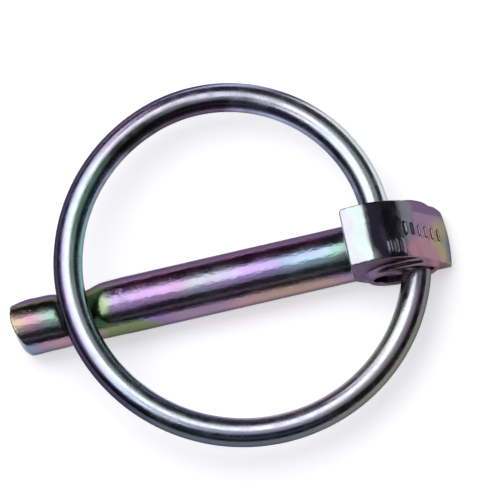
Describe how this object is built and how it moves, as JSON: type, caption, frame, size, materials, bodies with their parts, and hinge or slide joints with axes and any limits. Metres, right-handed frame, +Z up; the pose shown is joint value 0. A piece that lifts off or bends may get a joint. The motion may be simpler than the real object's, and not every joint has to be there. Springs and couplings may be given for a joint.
{
  "type": "lynch pin",
  "caption": "Steel pin with a wedge-shaped head and a sprung wire ring that hinges in the head and folds over the pin's tip to lock it in a hole.",
  "frame": {"origin": "on the pin's axis, in the plane of the head's shoulder", "axes": "+X along the pin's axis from the tip to the head, +Y along the ring's hinge, +Z up, towards the side on which the closed ring lies; the pin lies on its bosses and its tip"},
  "size_m": [0.0623, 0.0528, 0.015],
  "materials": {
    "pin_steel": "bright zinc plate with a rainbow passivation",
    "ring_steel": "bright zinc plate with a rainbow passivation"
  },
  "bodies": {
    "pin": {"pin_body": "pin_steel"},
    "ring": {"spring_ring": "ring_steel"}
  },
  "joints": [
    {"name": "ring_swing", "type": "hinge", "parent": "pin", "child": "ring", "pos_m": [0.0068, 0, 0.0008], "axis": [0, 1, 0], "range_deg": [0, 180], "stiffness_Nm_per_rad": 0.05, "springref_deg": -17.19}
  ]
}
